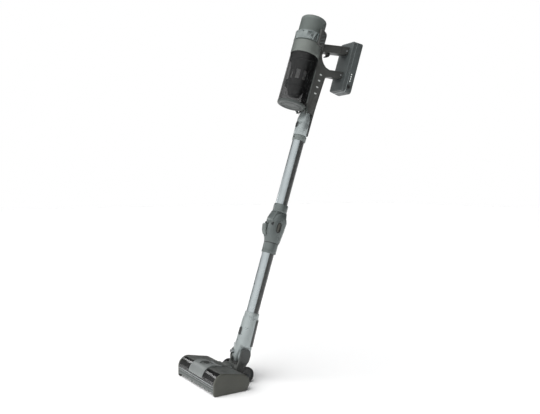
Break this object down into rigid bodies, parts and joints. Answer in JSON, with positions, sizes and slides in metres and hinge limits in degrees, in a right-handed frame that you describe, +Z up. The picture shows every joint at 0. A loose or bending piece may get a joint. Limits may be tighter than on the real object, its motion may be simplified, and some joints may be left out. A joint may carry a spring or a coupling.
{
  "type": "cordless stick vacuum",
  "caption": "Cordless stick vacuum: clear cyclone bin and motor on a frame with rear battery and finger grip, folding tube wand, and a wide powered brush head on a swivel neck.",
  "frame": {"origin": "on the floor under the middle of the head's rear glide strip, on the head's mid plane", "axes": "+Z up, -Y towards the nose of the cleaning head, +X to the head's right-hand end cap seen from behind the user"},
  "size_m": [0.252, 0.6621, 1.2099],
  "materials": {
    "dark_plastic": "dark grey-green moulded plastic, satin",
    "grey_plastic": "mid grey moulded plastic, satin",
    "silver_plastic": "silver-painted plastic, semi-gloss",
    "black_plastic": "black moulded plastic",
    "smoke_clear": "smoke-tinted clear plastic",
    "tube_metal": "anodised aluminium tube, satin",
    "steel": "bright steel",
    "bristle": "nylon bristles and soft pile",
    "felt": "felt strip",
    "wheel_rubber": "soft black rubber",
    "belt_rubber": "black toothed belt",
    "filter": "pleated filter paper",
    "cell_wrap": "battery cell sleeve",
    "mesh_metal": "fine metal mesh"
  },
  "bodies": {
    "head": {"head_shell": "dark_plastic", "sole_plate": "dark_plastic", "glide_strip": "felt", "end_cap_left": "dark_plastic", "end_cap_right": "dark_plastic", "front_window": "smoke_clear", "front_bumper": "grey_plastic", "centre_cover": "grey_plastic", "brush_motor": "steel", "drive_belt": "belt_rubber", "roller_bearings": "steel", "wheel_axles": "steel"},
    "cover_slider": {"cover_slider": "black_plastic"},
    "motor_pulley": {"motor_pulley": "black_plastic"},
    "brush": {"brush_roller": "grey_plastic", "brush_bristles": "bristle", "roller_pulley": "black_plastic"},
    "rear_wheel_left": {"rear_wheel_left": "wheel_rubber"},
    "rear_wheel_right": {"rear_wheel_right": "wheel_rubber"},
    "sole_roller_left": {"sole_roller_left": "black_plastic"},
    "sole_roller_right": {"sole_roller_right": "black_plastic"},
    "yoke": {"swivel_yoke": "dark_plastic", "yoke_ring": "steel", "pivot_covers": "dark_plastic", "pitch_pins": "steel", "neck_hose": "belt_rubber"},
    "lower_wand": {"neck_socket": "silver_plastic", "lower_tube": "tube_metal", "lower_conduit": "dark_plastic", "lower_collar": "silver_plastic", "joint_fork": "grey_plastic", "fold_pins": "steel", "joint_covers": "black_plastic", "joint_hose": "belt_rubber"},
    "neck_button": {"neck_button": "dark_plastic"},
    "joint_lever": {"joint_lever": "grey_plastic"},
    "hand_unit": {"joint_knuckle": "grey_plastic", "upper_tube": "tube_metal", "upper_conduit": "dark_plastic", "upper_collar": "silver_plastic", "inlet_pipe": "silver_plastic", "frame_left": "dark_plastic", "frame_right": "dark_plastic", "motor_housing": "grey_plastic", "vane_ring": "silver_plastic", "suction_motor": "steel", "dust_bin": "smoke_clear", "cyclone_body": "dark_plastic", "mesh_screen": "mesh_metal", "handle_plate": "dark_plastic"},
    "wand_button": {"wand_button": "dark_plastic"},
    "trigger": {"trigger": "black_plastic"},
    "impeller": {"impeller": "grey_plastic"},
    "bin_lid": {"bin_lid": "dark_plastic"},
    "lid_slider": {"lid_slider": "grey_plastic"},
    "motor_cap": {"motor_cap": "grey_plastic", "hepa_filter": "filter"},
    "battery": {"battery_pack": "dark_plastic", "battery_cells": "cell_wrap"},
    "battery_button": {"battery_button": "black_plastic"}
  },
  "joints": [
    {"name": "head_roll", "type": "hinge", "parent": "head", "child": "yoke", "pos_m": [0, 0.04, 0.03], "axis": [0, 1, 0], "range_deg": [-30, 30]},
    {"name": "neck_pitch", "type": "hinge", "parent": "yoke", "child": "lower_wand", "pos_m": [0, 0.08153, 0.07092], "axis": [1, 0, 0], "range_deg": [-58, 16], "deforming": ["neck_hose"]},
    {"name": "wand_fold", "type": "hinge", "parent": "lower_wand", "child": "hand_unit", "pos_m": [0, 0.21959, 0.50552], "axis": [1, 0, 0], "range_deg": [0, 70], "deforming": ["joint_hose"]},
    {"name": "fold_lever_squeeze", "type": "hinge", "parent": "lower_wand", "child": "joint_lever", "pos_m": [0, 0.17465, 0.46755], "axis": [1, 0, 0], "range_deg": [-8, 0], "stiffness_Nm_per_rad": 0.4, "springref_deg": 2.86},
    {"name": "neck_button_press", "type": "slide", "parent": "lower_wand", "child": "neck_button", "axis": [0, 0.9511, -0.309], "range_m": [0, 0.0015], "stiffness_N_per_m": 400, "springref_m": -0.0005},
    {"name": "wand_button_press", "type": "slide", "parent": "hand_unit", "child": "wand_button", "axis": [0, 0.9511, -0.309], "range_m": [0, 0.0012], "stiffness_N_per_m": 400, "springref_m": -0.0005},
    {"name": "trigger_pull", "type": "hinge", "parent": "hand_unit", "child": "trigger", "pos_m": [0, 0.42573, 1.09466], "axis": [1, 0, 0], "range_deg": [0, 12], "stiffness_Nm_per_rad": 0.3, "springref_deg": -2.86},
    {"name": "lid_hinge", "type": "hinge", "parent": "hand_unit", "child": "bin_lid", "pos_m": [0, 0.32491, 0.87822], "axis": [1, 0, 0], "range_deg": [0, 75]},
    {"name": "lid_release", "type": "slide", "parent": "hand_unit", "child": "lid_slider", "axis": [0, -0.309, -0.9511], "range_m": [0, 0.008], "stiffness_N_per_m": 300, "springref_m": -0.001},
    {"name": "cap_twist", "type": "hinge", "parent": "hand_unit", "child": "motor_cap", "pos_m": [0, 0.36528, 1.16266], "axis": [0, 0.309, 0.9511], "range_deg": [0, 25]},
    {"name": "fan_spin", "type": "hinge", "parent": "hand_unit", "child": "impeller", "pos_m": [0, 0.33747, 1.07707], "axis": [0, 0.309, 0.9511], "continuous": true},
    {"name": "battery_slide", "type": "slide", "parent": "hand_unit", "child": "battery", "axis": [0, -0.309, -0.9511], "range_m": [0, 0.06]},
    {"name": "battery_release", "type": "slide", "parent": "battery", "child": "battery_button", "axis": [-1, 0, 0], "range_m": [0, 0.0018], "stiffness_N_per_m": 400, "springref_m": -0.0005},
    {"name": "cover_release", "type": "slide", "parent": "head", "child": "cover_slider", "axis": [0, 1, 0], "range_m": [0, 0.005]},
    {"name": "brush_spin", "type": "hinge", "parent": "head", "child": "brush", "pos_m": [0, -0.048, 0.03], "axis": [1, 0, 0], "continuous": true},
    {"name": "motor_spin", "type": "hinge", "parent": "head", "child": "motor_pulley", "pos_m": [-0.1, 0.012, 0.024], "axis": [1, 0, 0], "continuous": true},
    {"name": "wheel_spin_left", "type": "hinge", "parent": "head", "child": "rear_wheel_left", "pos_m": [-0.057, 0.068, 0.025], "axis": [1, 0, 0], "continuous": true},
    {"name": "wheel_spin_right", "type": "hinge", "parent": "head", "child": "rear_wheel_right", "pos_m": [0.057, 0.068, 0.025], "axis": [1, 0, 0], "continuous": true},
    {"name": "sole_roller_spin_left", "type": "hinge", "parent": "head", "child": "sole_roller_left", "pos_m": [-0.095, -0.012, 0.005], "axis": [1, 0, 0], "continuous": true},
    {"name": "sole_roller_spin_right", "type": "hinge", "parent": "head", "child": "sole_roller_right", "pos_m": [0.095, -0.012, 0.005], "axis": [1, 0, 0], "continuous": true}
  ],
  "couplings": [
    {"joint": "motor_spin", "follows": "brush_spin", "ratio": 2.1667}
  ]
}
